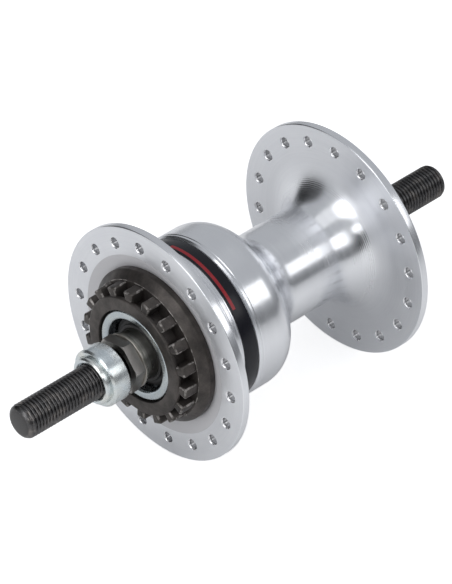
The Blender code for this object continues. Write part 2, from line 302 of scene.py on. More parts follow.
def rounded(corners, steps=4):
    """A closed outline of (y, r) or (y, r, fillet) corners, with each fillet drawn as an arc."""
    points = []
    for i, corner in enumerate(corners):
        here = Vector(corner[:2])
        if len(corner) < 3:
            points.append(tuple(here))
            continue
        radius = corner[2]
        one = (Vector(corners[i - 1][:2]) - here).normalized()
        two = (Vector(corners[(i + 1) % len(corners)][:2]) - here).normalized()
        half = one.angle(two) / 2
        centre = here + (one + two).normalized() * radius / math.sin(half)
        start = (here + one * radius / math.tan(half) - centre).normalized()
        end = (here + two * radius / math.tan(half) - centre).normalized()
        points += [tuple(centre + start.slerp(end, k / steps) * radius) for k in range(steps + 1)]
    return points


def applied(piece, *tools, operation="DIFFERENCE"):
    """Boolean the tools into a piece for good, and drop the tools."""
    for tool in tools:
        modifier = piece.modifiers.new("cut", "BOOLEAN")
        modifier.operation = operation
        modifier.solver = "EXACT"
        modifier.material_mode = "TRANSFER"
        modifier.object = tool
    bpy.context.view_layer.update()
    seen = piece.evaluated_get(bpy.context.evaluated_depsgraph_get())
    finished = bpy.data.meshes.new_from_object(seen)
    piece.modifiers.clear()
    piece.data = finished
    finished.shade_smooth()
    finished.set_sharp_from_angle(angle=math.radians(SHARP))
    for tool in tools:
        bpy.data.objects.remove(tool, do_unlink=True)
    return piece


def stands_for(piece, body, slot, *nodes):
    """A piece rides on a body and hides the CAD nodes it stands for; its slot is not used."""
    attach(piece, body)
    if nodes:
        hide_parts(*nodes)
    return piece


# ---- node materials ----

class Graph:
    """A small helper that adds and links shader nodes in a tree."""

    def __init__(self, tree):
        self.tree = tree

    def add(self, kind, **settings):
        node = self.tree.nodes.new(kind)
        for key, value in settings.items():
            setattr(node, key, value)
        return node

    def put(self, value, socket):
        """Link an output to a socket, or set the socket to a plain value."""
        if isinstance(value, bpy.types.NodeSocket):
            self.tree.links.new(value, socket)
        else:
            socket.default_value = value

    def math(self, operation, one, two=0.0, clamp=False):
        node = self.add("ShaderNodeMath", operation=operation, use_clamp=clamp)
        self.put(one, node.inputs[0])
        self.put(two, node.inputs[1])
        return node.outputs[0]

    def remap(self, value, low, high, to_low=0.0, to_high=1.0):
        node = self.add("ShaderNodeMapRange")
        self.put(value, node.inputs["Value"])
        for key, number in zip(("From Min", "From Max", "To Min", "To Max"), (low, high, to_low, to_high)):
            node.inputs[key].default_value = number
        return node.outputs["Result"]

    def band(self, value, low, high):
        """1 between two limits and 0 outside them."""
        above = self.math("GREATER_THAN", value, low)
        below = self.math("LESS_THAN", value, high)
        return self.math("MULTIPLY", above, below)

    def mix(self, factor, one, two):
        """Blend two colours."""
        node = self.add("ShaderNodeMix", data_type="RGBA")
        self.put(factor, node.inputs["Factor"])
        for value, socket in ((one, node.inputs["A"]), (two, node.inputs["B"])):
            self.put(value if isinstance(value, bpy.types.NodeSocket) else (*value, 1.0), socket)
        return node.outputs["Result"]


class Nodes(Graph):
    """A material's shader nodes, with its textures placed in object space."""

    def __init__(self, name):
        self.material = bpy.data.materials.new(name)
        self.material.use_nodes = True
        super().__init__(self.material.node_tree)
        self.shader = self.tree.nodes["Principled BSDF"]
        self.place = self.add("ShaderNodeTexCoord").outputs["Object"]

    def noise(self, vector, scale, detail=2.0, roughness=0.5):
        node = self.add("ShaderNodeTexNoise")
        self.put(vector, node.inputs["Vector"])
        node.inputs["Scale"].default_value = scale
        node.inputs["Detail"].default_value = detail
        node.inputs["Roughness"].default_value = roughness
        return node.outputs["Fac"]

    def bump(self, height, distance, strength=1.0, normal=None):
        node = self.add("ShaderNodeBump")
        self.put(height, node.inputs["Height"])
        node.inputs["Strength"].default_value = strength
        node.inputs["Distance"].default_value = distance
        if normal is not None:
            self.put(normal, node.inputs["Normal"])
        return node.outputs["Normal"]

    def polar(self):
        """(distance along the axle, radius, angle) of the shaded point, in metres and turns."""
        split = self.add("ShaderNodeSeparateXYZ")
        self.put(self.place, split.inputs[0])
        x, y, z = split.outputs
        squares = self.math("ADD", self.math("MULTIPLY", x, x), self.math("MULTIPLY", z, z))
        angle = self.math("DIVIDE", self.math("ARCTAN2", z, x), TURN)
        return y, self.math("SQRT", squares), angle

    def distance(self, point):
        """Distance of the shaded point from a fixed point, in metres."""
        node = self.add("ShaderNodeVectorMath", operation="DISTANCE")
        self.put(self.place, node.inputs[0])
        node.inputs[1].default_value = point
        return node.outputs["Value"]

    def facing_along(self):
        """How far the surface faces along the axle: 0 on its sides, 1 on end faces."""
        split = self.add("ShaderNodeSeparateXYZ")
        self.put(self.add("ShaderNodeNewGeometry").outputs["Normal"], split.inputs[0])
        return self.math("ABSOLUTE", split.outputs[1])

    def turned(self, drift):
        """Coordinates that hold still round the axle, with a slow drift so that streaks end."""
        y, radius, _ = self.polar()
        joined = self.add("ShaderNodeCombineXYZ")
        self.put(y, joined.inputs[0])
        self.put(radius, joined.inputs[1])
        slow = self.add("ShaderNodeVectorMath", operation="SCALE")
        self.put(self.place, slow.inputs[0])
        slow.inputs["Scale"].default_value = drift
        total = self.add("ShaderNodeVectorMath", operation="ADD")
        self.put(joined.outputs[0], total.inputs[0])
        self.put(slow.outputs[0], total.inputs[1])
        return total.outputs[0]

    def brush(self, amount):
        """Stretch reflections across grooves that run round the axle."""
        tangent = self.add("ShaderNodeTangent", direction_type="RADIAL", axis="Y")
        self.put(tangent.outputs[0], self.shader.inputs["Tangent"])
        self.put(amount, self.shader.inputs["Anisotropic"])
        self.put(0.25, self.shader.inputs["Anisotropic Rotation"])

    def finish(self, colour, roughness, metallic, normal=None, **extra):
        self.put(colour if isinstance(colour, bpy.types.NodeSocket) else (*colour, 1.0),
                 self.shader.inputs["Base Color"])
        self.put(roughness, self.shader.inputs["Roughness"])
        self.put(metallic, self.shader.inputs["Metallic"])
        if normal is not None:
            self.put(normal, self.shader.inputs["Normal"])
        for key, value in extra.items():
            self.put(value, self.shader.inputs[key.replace("_", " ")])
        return self.material


def turned_aluminium(name):
    """The shell's finish: turned metal with a duller dish round the brake boss."""
    n = Nodes(name)
    y, radius, _ = n.polar()
    in_ring = n.band(radius, DISH_R * MM, RECESS_RIM_R * MM)
    dish = n.math("MULTIPLY", in_ring, n.math("LESS_THAN", y, DISH_FRONT_Y * MM))
    return turned_metal(n, (0.80, 0.81, 0.84), (0.88, 0.89, 0.91), 0.22, 0.002, 0.4,
                        face_roughness=0.46, grain=0.5, dull=dish)


def turned_metal(n, colour, shade, roughness, groove, streak,
                 face_roughness=None, grain=0.6, dull=None):
    """Machined metal: fine grooves round the axle over slow clouds of tone.

    The grain stretches reflections across the grooves. End faces can have a roughness of their own.
    The dull mask darkens part of the surface.
    """
    fine = n.noise(n.turned(0.02), FINE_LINES, 3.0, 0.65)
    broad = n.noise(n.turned(0.05), BROAD_LINES, 2.0, 0.5)
    clouds = n.noise(n.place, CLOUDS, 2.0, 0.5)
    tone = n.math("ADD", n.remap(fine, 0.3, 0.7, 0.0, streak), n.remap(clouds, 0.3, 0.7, 0.0, 0.5))
    rough = n.math("ADD", n.remap(broad, 0.3, 0.7, roughness - 0.04, roughness + 0.04),
                   n.remap(clouds, 0.3, 0.7, -0.03, 0.03))
    if face_roughness:
        more = n.remap(n.facing_along(), 0.75, 0.97, 0.0, face_roughness - roughness)
        rough = n.math("ADD", rough, more)
    normal = n.bump(broad, groove * 2.2 * MM, 0.6)
    normal = n.bump(fine, groove * MM, 1.0, normal)
    n.brush(grain)
    paint, metallic = n.mix(tone, colour, shade), 1.0
    if dull is not None:
        paint = n.mix(dull, paint, DISH_COLOUR)
        metallic = n.remap(dull, 0.0, 1.0, 1.0, DISH_METALLIC)
    return n.finish(paint, rough, metallic, normal)


def black_oxide(name):
    """Oiled black steel with faint brown patches, partly rubbed wear and partly painted glints, plainer
    and darker on end faces.
    """
    n = Nodes(name)
    patches = n.noise(n.place, 420, 3.0, 0.6)
    grain = n.noise(n.place, 5200, 2.0, 0.6)
    # Brown patches: rubbed wear and painted glints in one colour
    rub_and_glint = n.remap(patches, 0.5, 0.72)
    wear_and_sheen = n.mix(rub_and_glint, (0.105, 0.103, 0.104), (0.20, 0.185, 0.175))
    colour = n.mix(n.remap(n.facing_along(), 0.9, 0.98), wear_and_sheen, (0.085, 0.083, 0.083))
    rough = n.remap(grain, 0.3, 0.7, 0.22, 0.36)
    return n.finish(colour, rough, 1.0, n.bump(grain, 0.010 * MM, 0.5))


def phosphate(name, dark, light, roughness, metallic, grain_depth):
    """Matt dark coating: a sandy grain over uneven tone."""
    n = Nodes(name)
    patches = n.noise(n.place, 260, 3.0, 0.6)
    grain = n.noise(n.place, 4200, 3.0, 0.7)
    sand = n.remap(grain, 0.35, 0.75, 0.0, 0.35)
    tone = n.math("ADD", n.remap(patches, 0.35, 0.7, 0.0, 0.7), sand, clamp=True)
    rough = n.remap(patches, 0.3, 0.7, roughness + 0.06, roughness - 0.06)
    return n.finish(n.mix(tone, dark, light), rough, metallic, n.bump(grain, grain_depth * MM, 0.6))


def edge_wear_and_sheen(name):
    """Pale scuffed metal on the brake boss's tooth edges, with dark coating left in spots. On the
    shoulder's edge band the same pale colour is a painted highlight.
    """
    n = Nodes(name)
    spots = n.noise(n.place, 600, 3.0, 0.6)
    colour = n.mix(n.remap(spots, 0.46, 0.60), (0.075, 0.068, 0.062), (0.32, 0.30, 0.285))
    rough = n.remap(spots, 0.3, 0.7, 0.5, 0.32)
    return n.finish(colour, rough, 0.7, n.bump(spots, 0.03 * MM, 0.6))


def zinc_plate(name, cool, warm):
    """Bright zinc: turned grooves, faint clouds from a cool to a warm tone, small dull spots."""
    n = Nodes(name)
    clouds = n.noise(n.place, 240, 2.0, 0.5)
    spots = n.noise(n.place, 2400, 2.0, 0.5)
    lines = n.noise(n.turned(0.02), 3200, 2.0, 0.6)
    colour = n.mix(n.remap(clouds, 0.35, 0.65), cool, warm)
    rough = n.math("ADD", n.remap(spots, 0.45, 0.75, 0.19, 0.30), n.remap(clouds, 0.3, 0.7, 0.0, 0.06))
    normal = n.bump(lines, 0.006 * MM, 0.8)
    return n.finish(colour, rough, 1.0, n.bump(spots, 0.003 * MM, 0.4, normal))


def rubber(name):
    """Matt black rubber with a fine grain."""
    n = Nodes(name)
    grain = n.noise(n.place, 3000, 3.0, 0.6)
    colour = n.mix(grain, (0.010, 0.010, 0.011), (0.035, 0.034, 0.034))
    return n.finish(colour, n.remap(grain, 0.3, 0.7, 0.5, 0.7), 0.0, n.bump(grain, 0.03 * MM, 0.5))


def bearing_steel(name, colour, shade, roughness):
    """Ground steel with fine polishing marks and a film of grease."""
    n = Nodes(name)
    marks = n.noise(n.place, 3000, 3.0, 0.6)
    film = n.noise(n.place, 300, 2.0, 0.5)
    scuffed = n.remap(marks, 0.3, 0.7, roughness, roughness + 0.08)
    rough = n.math("ADD", scuffed, n.remap(film, 0.4, 0.7, 0.0, 0.12))
    return n.finish(n.mix(film, colour, shade), rough, 1.0, n.bump(marks, 0.004 * MM, 0.5))


def label_film(name, y0, y1):
    """Glossy black film with a thin red line near its left edge, over the upper front of the drum."""
    n = Nodes(name)
    y, _, angle = n.polar()
    along = n.remap(y, y0 * MM, y1 * MM)
    stripe = n.band(along, *LINE_ACROSS)
    reach = n.band(angle, LINE_AROUND[0] / 360, LINE_AROUND[1] / 360)
    grain = n.noise(n.place, 1600, 2.0, 0.5)
    black = n.mix(grain, (0.004, 0.004, 0.008), (0.006, 0.006, 0.011))
    red = n.mix(grain, (0.28, 0.012, 0.020), (0.38, 0.028, 0.036))
    colour = n.mix(n.math("MULTIPLY", stripe, reach), black, red)
    rough = n.remap(grain, 0.3, 0.7, 0.20, 0.26)
    return n.finish(colour, rough, 0.0, n.bump(grain, 0.001 * MM, 0.5), Specular_IOR_Level=0.32)


def make_finishes():
    """Every material of the hub, by a short name."""
    label_y0, label_y1 = ends("label_band")
    return {
        "aluminium": turned_aluminium("turned_aluminium"),
        # Spoke hole walls: aluminium painted darker, as the shade inside the holes
        "drilled": turned_metal(Nodes("hole_wall_painted_shade"),
                                (0.42, 0.42, 0.43), (0.55, 0.55, 0.56), 0.28, 0.003, 0.5),
        "polished": turned_metal(Nodes("polished_hole_edge"),
                                 (0.84, 0.84, 0.86), (0.92, 0.92, 0.93), 0.2, 0.001, 0.5),
        "washer": turned_metal(Nodes("dull_washer_steel"),
                               (0.30, 0.285, 0.26), (0.50, 0.475, 0.43), 0.30, 0.006, 0.5),
        "cone": turned_metal(Nodes("hardened_cone_steel"),
                             (0.22, 0.212, 0.195), (0.40, 0.385, 0.36), 0.3, 0.008, 0.6),
        "axle": black_oxide("black_oxide_steel"),
        "locknut": phosphate("blackened_nut_steel",
                             (0.30, 0.288, 0.275), (0.50, 0.48, 0.46), 0.33, 1.0, 0.01),
        "boss": phosphate("phosphated_boss_steel",
                          (0.040, 0.036, 0.034), (0.105, 0.092, 0.084), 0.40, 0.7, 0.025),
        # Tooth wear, and a painted highlight on the boss shoulder's edge
        "wear_and_sheen": edge_wear_and_sheen("tooth_wear_and_edge_sheen"),
        "zinc": zinc_plate("bright_zinc_plate", (0.66, 0.72, 0.75), (0.76, 0.78, 0.75)),
        "cap": zinc_plate("dull_zinc_plate", (0.48, 0.53, 0.56), (0.56, 0.60, 0.60)),
        "rubber": rubber("seal_rubber_skin"),
        "ball": bearing_steel("polished_ball_steel", (0.62, 0.62, 0.63), (0.55, 0.54, 0.52), 0.08),
        "race": bearing_steel("ground_race_steel", (0.42, 0.41, 0.40), (0.30, 0.28, 0.25), 0.22),
        "label": label_film("glossy_label_film", label_y0, label_y1),
    }


# ---- pieces on the axle ----

def thread_radius(y, angle, radius):
    """Radius of a helical thread with flat crests and roots."""
    phase = (y / THREAD_PITCH - angle / TURN) % 1.0
    away = abs(phase - 0.5) * 2
    rise = min(1.0, max(0.0, (away - THREAD_CREST) / THREAD_FLANK))
    return radius - THREAD_DEPTH * rise


def axle_rows(low, high, left_face, right_face):
    """Stations along the axle: close together where the thread shows, few in between."""
    step = THREAD_PITCH / THREAD_ROWS
    left_count = round((left_face + THREAD_BEHIND_FACE - low) / step)
    right_count = round((high - right_face + THREAD_BEHIND_FACE) / step)
    left = [low + k * step for k in range(left_count + 1)]
    right = [high - k * step for k in range(right_count + 1)]
    return left, right[::-1]


def make_axle(finish):
    """The axle: a threaded rod with rounded ends."""
    low, high = ends("axle")
    radius = outer_radius("axle")
    left, right = axle_rows(low, high, ends("brake_fixing_nut")[0], ends("right_locknut")[1])
    builder = bmesh.new()
    rings = []
    for y in left + right:
        from_tip = min(y - low, high - y, AXLE_TIP)
        limit = radius - AXLE_TIP + math.sqrt(max(0.0, from_tip * (2 * AXLE_TIP - from_tip)))
        ring = []
        for k in range(THREAD_STEPS):
            angle = TURN * k / THREAD_STEPS
            ring.append(builder.verts.new(around(min(limit, thread_radius(y, angle, radius)), y, angle)))
        rings.append(ring)
    for here, there in zip(rings, rings[1:]):
        for k in range(THREAD_STEPS):
            n = (k + 1) % THREAD_STEPS
            builder.faces.new((here[k], here[n], there[n], there[k]))
    builder.faces.new(rings[0])
    builder.faces.new(rings[-1])
    rod = mesh_object("axle_rod", builder, finish["axle"], 40)
    stands_for(rod, "axle_set", "axle_steel", "axle")


def make_fixing_nut(finish):
    """Zinc nut: a small round tier, a wider collar, and a thread mouth cut at 45 degrees."""
    y0, y1 = ends("brake_fixing_nut")
    collar = outer_radius("brake_fixing_nut")
    bore = outer_radius("axle") + BORE_GAP
    step = y0 + TIER_LENGTH
    corners = [
        (y0, bore + MOUTH_LEFT, 0.05), (y0, TIER_R - TIER_BEVEL, 0.1),
        (y0 + TIER_BEVEL, TIER_R, 0.1), (step - 0.1, TIER_R),
        (step, TIER_R - TIER_GROOVE), (step + 0.1, TIER_R), (step, TIER_R + 0.1),
        (step, collar - COLLAR_SLOPE_R, 0.1), (step + COLLAR_SLOPE_END, collar, 0.15),
        (y1 - COLLAR_BEVEL, collar, 0.2), (y1, collar - COLLAR_BEVEL, 0.2),
        (y1, bore + MOUTH_RIGHT), (y1 - MOUTH_RIGHT, bore), (y0 + MOUTH_LEFT, bore),
    ]
    nut = lathe("zinc_fixing_nut", rounded(corners), finish["zinc"])
    stands_for(nut, "brake_nut", "zinc_plate", "brake_fixing_nut")


def hexagon(name, flats, y0, y1, flat_angle, finish):
    """A plain hexagonal prism across flats."""
    corner = flats / 2 / math.cos(math.pi / 6)
    angles = [math.radians(flat_angle + 30 + 60 * k) for k in range(6)]
    builder = bmesh.new()
    near, far = [[builder.verts.new(around(corner, y, a)) for a in angles] for y in (y0, y1)]
    builder.faces.new(near)
    builder.faces.new(far)
    for k in range(6):
        n = (k + 1) % 6
        builder.faces.new((near[k], near[n], far[n], far[k]))
    return mesh_object(name, builder, finish)


def make_locknut(node, flats, flat_angle, slot, finish):
    """A hex nut: turned chamfers trim the corners of the hexagon."""
    y0, y1 = ends(node)
    corner = flats / 2 / math.cos(math.pi / 6)
    bore = outer_radius("axle") + BORE_GAP
    chamfer = LOCKNUT_CHAMFER
    slope = chamfer * LOCKNUT_CHAMFER_LENGTH
    corners = [
        (y0, bore + chamfer), (y0, corner - chamfer, 0.2), (y0 + slope, corner + 0.01),
        (y1 - slope, corner + 0.01), (y1, corner - chamfer, 0.2), (y1, bore + chamfer),
        (y1 - chamfer, bore), (y0 + chamfer, bore),
    ]
    nut = lathe(node + "_hex", rounded(corners), finish)
    prism = hexagon("trim", flats, y0 - 1, y1 + 1, flat_angle, finish)
    applied(nut, prism, operation="INTERSECT")
    stands_for(nut, "axle_set", slot, node)


def make_washer(node, name, finish):
    """A flat washer with rounded outer edges."""
    y0, y1 = ends(node)
    outer = outer_radius(node)
    bore = outer_radius("axle") + BORE_GAP + WASHER_MOUTH
    corners = [(y0, bore), (y0, outer, 0.2), (y1, outer, 0.2), (y1, bore)]
    stands_for(lathe(name, rounded(corners), finish["washer"]), "axle_set", "dark_steel", node)


def make_cone(node, name, side, finish):
    """A bearing cone: a hollow race that stands clear of the balls, a shoulder and a collar."""
    inner, outer = sorted(side * y for y in ends(node))
    bore = outer_radius("axle") + BORE_GAP
    race = arc(inner + CONE_NOSE, BALL_CIRCLE_R, BALL_R + RACE_GAP, 270, 350, 12)
    race_end = inner + CONE_RACE_LENGTH
    foot, shoulder = race[0][1], race[-1][1]
    nose = [(inner, bore), (inner, foot - CONE_NOSE_DROP, 0.2), (inner + CONE_NOSE_BEVEL, foot)]
    collar = [
        (race_end, shoulder, 0.3), (race_end, CONE_COLLAR_R, 0.15),
        (outer, CONE_COLLAR_R, 0.35), (outer, bore),
    ]
    corners = nose + race + collar
    outline = [(side * y, r) for y, r in rounded(corners)]
    stands_for(lathe(name, outline, finish["cone"]), "axle_set", "dark_steel", node)


def make_seal(node, name, side, finish):
    """A rubber seal in rounded steps, widest against the bearing."""
    inner, outer = sorted(side * y for y in ends(node))
    wide = outer_radius(node)
    (y1, r1), (y2, r2) = [(inner + along, wide - drop) for along, drop in SEAL_STEPS]
    corners = [
        (inner, SEAL_BORE_R), (inner, wide, 0.15), (y1, wide, 0.2), (y1, r1, 0.1),
        (y2, r1, 0.2), (y2, r2, 0.1), (outer, r2, 0.25), (outer, SEAL_BORE_R, 0.1),
    ]
    outline = [(side * y, r) for y, r in rounded(corners)]
    stands_for(lathe(name, outline, finish["rubber"]), "axle_set", "seal_rubber", node)


def make_dust_cap(node, name, side, bore, finish):
    """A plated ring with rolled outer lips."""
    inner, outer = sorted(side * y for y in ends(node))
    wide = outer_radius(node)
    corners = [(inner, wide, 0.1), (inner, bore, 0.1), (outer, bore, 0.75), (outer, wide, 0.7)]
    outline = [(side * y, r) for y, r in rounded(corners, 8)]
    stands_for(lathe(name, outline, finish["cap"], FINE), "hub", "zinc_plate", node)


# ---- shell, label and brake boss ----

def shoulder_angle():
    """Where the convex shoulder meets the concave neck turn, on one straight common tangent."""
    rise = (NECK_R + NECK_FILLET) - (DRUM_HIGH_R - SHOULDER_R)
    run = NECK_START_Y - DRUM_END_Y
    offset = math.acos(min(1.0, (SHOULDER_R + NECK_FILLET) / math.hypot(run, rise)))
    return math.degrees(math.atan2(rise, run) + offset)


def tool_marked_flare(centre_y, centre_r):
    """The hollow flare at the right flange, rippled by the tool that turned it."""
    length = FLARE_R * math.pi / 2
    steps = round(length / TOOL_MARK_PITCH * TOOL_MARK_POINTS)
    points = []
    for i in range(steps + 1):
        part = i / steps
        ripple = math.sin(TURN * part * length / TOOL_MARK_PITCH) * math.sin(math.pi * part) ** 2
        radius = FLARE_R + TOOL_MARK_DEPTH * ripple
        angle = -part * math.pi / 2
        points.append((centre_y + radius * math.cos(angle), centre_r + radius * math.sin(angle)))
    return points


def groove(y, radius):
    """A shallow turned groove in a drum surface, from its right edge to its left."""
    half = GROOVE_WIDTH / 2
    floor_r = radius - GROOVE_DEPTH
    return [(y + half, radius), (y + half / 3, floor_r), (y - half / 3, floor_r), (y - half, radius)]


def rim(start_y, end_y, radius):
    """The outline over a flange's rounded edge, from its face at start_y to its face at end_y."""
    well_inside = radius - 6
    corners = [
        (start_y, well_inside), (start_y, radius, RIM_EDGE),
        (end_y, radius, RIM_EDGE), (end_y, well_inside),
    ]
    return rounded(corners, 5)[1:-1]


def shell_outline():
    """The shell's outline, from its left bore along the inside and back along the outside."""
    left_y, right_y = ends("left_cup")[1], ends("right_cup")[0]
    seat = outer_radius("left_cup") + SEAT_GAP
    left_seat, right_seat = left_y + SEAT_GAP, right_y - SEAT_GAP
    flange_y, boss_y = ends("hub_shell")
    radius = outer_radius("hub_shell")
    right_flange_y = frame_mount("right_spoke_flange_face").y / MM
    recess_y = flange_y + RECESS_DEPTH
    left_back = flange_y + RIM_THICKNESS
    right_front = right_flange_y - RIM_THICKNESS
    ledge_r = SHELL_BORE_R + BORE_LEDGE
    inside = [
        (recess_y, seat), (left_seat, seat), (left_seat, ledge_r),
        (left_y + BORE_SLOPE_END, SHELL_BORE_R), (right_y - BORE_SLOPE_END, SHELL_BORE_R),
        (right_seat, ledge_r), (right_seat, seat), (boss_y, seat),
    ]
    boss = [
        (boss_y, BOSS_R - BOSS_CORNER), (boss_y - BOSS_CORNER_MIDDLE, BOSS_R - BOSS_CORNER_MIDDLE),
        (boss_y - BOSS_CORNER, BOSS_R),
    ]
    foot = BOSS_FOOT_FILLET
    boss += arc(right_flange_y + foot, BOSS_R + foot, foot, 270, 180, 5)
    right = rim(right_flange_y, right_front, radius)
    flare = tool_marked_flare(right_front - FLARE_R, NECK_R + FLARE_R)
    neck_length = right_front - FLARE_R - NECK_START_Y
    neck = [(NECK_START_Y + neck_length * k / 3, NECK_R) for k in (2, 1)]
    turn = arc(NECK_START_Y, NECK_R + NECK_FILLET, NECK_FILLET, 270, shoulder_angle() + 180, 16)
    shoulder = arc(DRUM_END_Y, DRUM_HIGH_R - SHOULDER_R, SHOULDER_R, shoulder_angle(), 90, 16)
    drum = groove(STEP_GROOVE_Y, DRUM_HIGH_R)
    drum += [
        (DRUM_STEP_Y + STEP_DROP, DRUM_HIGH_R), (DRUM_STEP_Y, DRUM_HIGH_R - STEP_DROP),
        (DRUM_STEP_Y - 0.05, DRUM_R),
    ]
    for y in DRUM_GROOVES:
        drum += groove(y, DRUM_R)
    fillet = DRUM_ROOT_FILLET
    root = arc(left_back + fillet, DRUM_R + fillet, fillet, 270, 180, 8)
    left = rim(left_back, flange_y, radius)
    recess = [(flange_y, RECESS_RIM_R), (recess_y, RECESS_R)]
    return inside + boss + right + flare + neck + turn + shoulder + drum + root + left + recess


def frame_mount(name):
    """The point of a mount in the record, in metres."""
    for mount in frame["record"]["mounts"]:
        if mount["name"] == name:
            return Vector(mount["pos_m"])
    raise KeyError(name)


def spoke_holes(name, y0, y1, first_angle, finish):
    """Cutters for one flange's spoke holes, each opening out at both faces."""
    sink = SPOKE_SINK
    near = arc(y0 + sink, SPOKE_HOLE_R + sink, sink, 195, 270, 4)
    far = arc(y1 - sink, SPOKE_HOLE_R + sink, sink, 270, 345, 4)
    profile = [(y0 - 1, near[0][1] + 0.3)] + near + far + [(y1 + 1, far[-1][1] + 0.3)]
    turns = [TURN * (i + HOLE_PHASE) / SPOKE_STEPS for i in range(SPOKE_STEPS)]
    builder = bmesh.new()
    for k in range(SPOKES_PER_FLANGE):
        angle = math.radians(first_angle) + TURN * k / SPOKES_PER_FLANGE
        centre = around(SPOKE_CIRCLE_R, 0, angle)
        rings = []
        for y, r in profile:
            rings.append([builder.verts.new(centre + around(r, y, turn)) for turn in turns])
        # The straight wall of each hole takes the first finish, painted darker as shade inside the hole;
        # the rounded mouths take the second
        for row, (here, there) in enumerate(zip(rings, rings[1:])):
            for i in range(SPOKE_STEPS):
                n = (i + 1) % SPOKE_STEPS
                side = builder.faces.new((here[i], here[n], there[n], there[i]))
                side.material_index = int(row != len(near))
        builder.faces.new(rings[0])
        builder.faces.new(rings[-1])
    return mesh_object(name, builder, finish)


def make_shell(finish):
    """The hub shell, spun in one piece and then drilled for spokes."""
    shell = lathe("turned_hub_shell", shell_outline(), finish["aluminium"], FINE)
    flange_y = ends("hub_shell")[0]
    right_y = frame_mount("right_spoke_flange_face").y / MM
    # Hole walls painted darker as shade, hole mouths bright
    drilled = (finish["drilled"], finish["polished"])
    left = spoke_holes("left_holes", flange_y, flange_y + RIM_THICKNESS, 0.0, drilled)
    right_front = right_y - RIM_THICKNESS
    right = spoke_holes("right_holes", right_front, right_y, RIGHT_SPOKE_ANGLE, drilled)
    applied(shell, left, right)
    stands_for(shell, "hub", "shell_aluminium", "hub_shell")


def make_label(finish):
    """A film laid round the drum with softened edges."""
    y0, y1 = ends("label_band")
    outer = outer_radius("label_band")
    inner = DRUM_R + LABEL_LIFT
    corners = [(y0, inner), (y0, outer, 0.08), (y1, outer, 0.08), (y1, inner)]
    strip = lathe("label_strip", rounded(corners, 3), finish["label"], FINE)
    stands_for(strip, "hub", "label_film", "label_band")


def make_boss_ring(finish):
    """The ring that carries the teeth: end face, slot floor, shoulder with a pale painted highlight on its
    edge, base plate.
    """
    face, plate_end = ends("brake_spline_boss")
    plate = outer_radius("brake_spline_boss")
    floor_r = TOOTH_ROOT_R - SLOT_FLOOR_DROP
    corners = [
        (face, BOSS_BORE_R, 0.15), (face, TOOTH_ROOT_R, 0.45),
        (face + BOSS_LIP_END, TOOTH_ROOT_R, 0.2), (face + BOSS_LIP_SLOPE_END, floor_r),
        (BOSS_SHOULDER_Y, floor_r), (BOSS_SHOULDER_Y, BOSS_SHOULDER_R, 0.25),
        (BOSS_SHOULDER_Y + BOSS_SHOULDER_SLOPE, plate, 0.2),
        (plate_end, plate, 0.1), (plate_end, BOSS_BORE_R),
    ]
    builder = spin(rounded(corners), FINE)
    # Faces at the shoulder's outer edge take the pale edge material, a painted highlight line
    for side in builder.faces:
        middle = side.calc_center_median() / MM
        outside = math.hypot(middle.x, middle.z) > BOSS_SHOULDER_R - BOSS_EDGE_BAND_R
        at_edge = middle.y < BOSS_SHOULDER_Y + BOSS_EDGE_BAND_Y
        side.material_index = int(outside and at_edge)
    ring = mesh_object("brake_boss_ring", builder, (finish["boss"], finish["wear_and_sheen"]))
    stands_for(ring, "hub", "dark_steel", "brake_spline_boss")


def tooth_section(middle):
    """Corner points (radius, angle) of one tooth, parallel to the slots on either side."""
    half_pitch = math.pi / TEETH
    arc_steps = 5

    def half_width(radius):
        return half_pitch - math.asin(SLOT_WIDTH / 2 / radius)

    foot_r = TOOTH_ROOT_R - TOOTH_FOOT_DROP
    outer, inner = half_width(TOOTH_R), half_width(foot_r)
    top = [(TOOTH_R, middle - outer + 2 * outer * k / arc_steps) for k in range(arc_steps + 1)]
    return top + [(foot_r, middle + inner), (foot_r, middle - inner)]


def make_teeth(finish):
    """The brake teeth, with pale wear on the bevels of their free ends and long outer corners."""
    face = ends("brake_spline_boss")[0] + TOOTH_SETBACK
    builder = bmesh.new()
    for k in range(TEETH):
        middle = math.radians(TOOTH_ANGLE) + TURN * k / TEETH
        section = tooth_section(middle)
        near = [builder.verts.new(around(r, face, a)) for r, a in section]
        far = [builder.verts.new(around(r, BOSS_SHOULDER_Y + TOOTH_SINK, a)) for r, a in section]
        builder.faces.new(near)
        builder.faces.new(far)
        for i in range(len(near)):
            n = (i + 1) % len(near)
            builder.faces.new((near[i], near[n], far[n], far[i]))
    bmesh.ops.recalc_face_normals(builder, faces=builder.faces)
    edges = [e for e in builder.edges if tooth_edge(e, face)]
    bmesh.ops.bevel(builder, geom=edges, offset=TOOTH_BEVEL * MM, offset_type="OFFSET", segments=2,
                    profile=0.5, affect="EDGES", material=1, clamp_overlap=True)
    teeth = mesh_object("brake_boss_teeth", builder, (finish["boss"], finish["wear_and_sheen"]), 50)
    stands_for(teeth, "hub", "dark_steel")


def tooth_edge(edge, face):
    """True for the edges round a tooth's free end and for its long outer corners."""
    ys = [v.co.y / MM for v in edge.verts]
    radii = [math.hypot(v.co.x, v.co.z) / MM for v in edge.verts]
    at_face = all(abs(y - face) < 0.01 for y in ys)
    outer = all(r > TOOTH_R - 0.01 for r in radii)
    long_corner = outer and abs(ys[0] - ys[1]) > 1 and edge.calc_face_angle(0) > math.radians(30)
    return long_corner or (at_face and max(radii) > TOOTH_ROOT_R)


# ---- stage ----

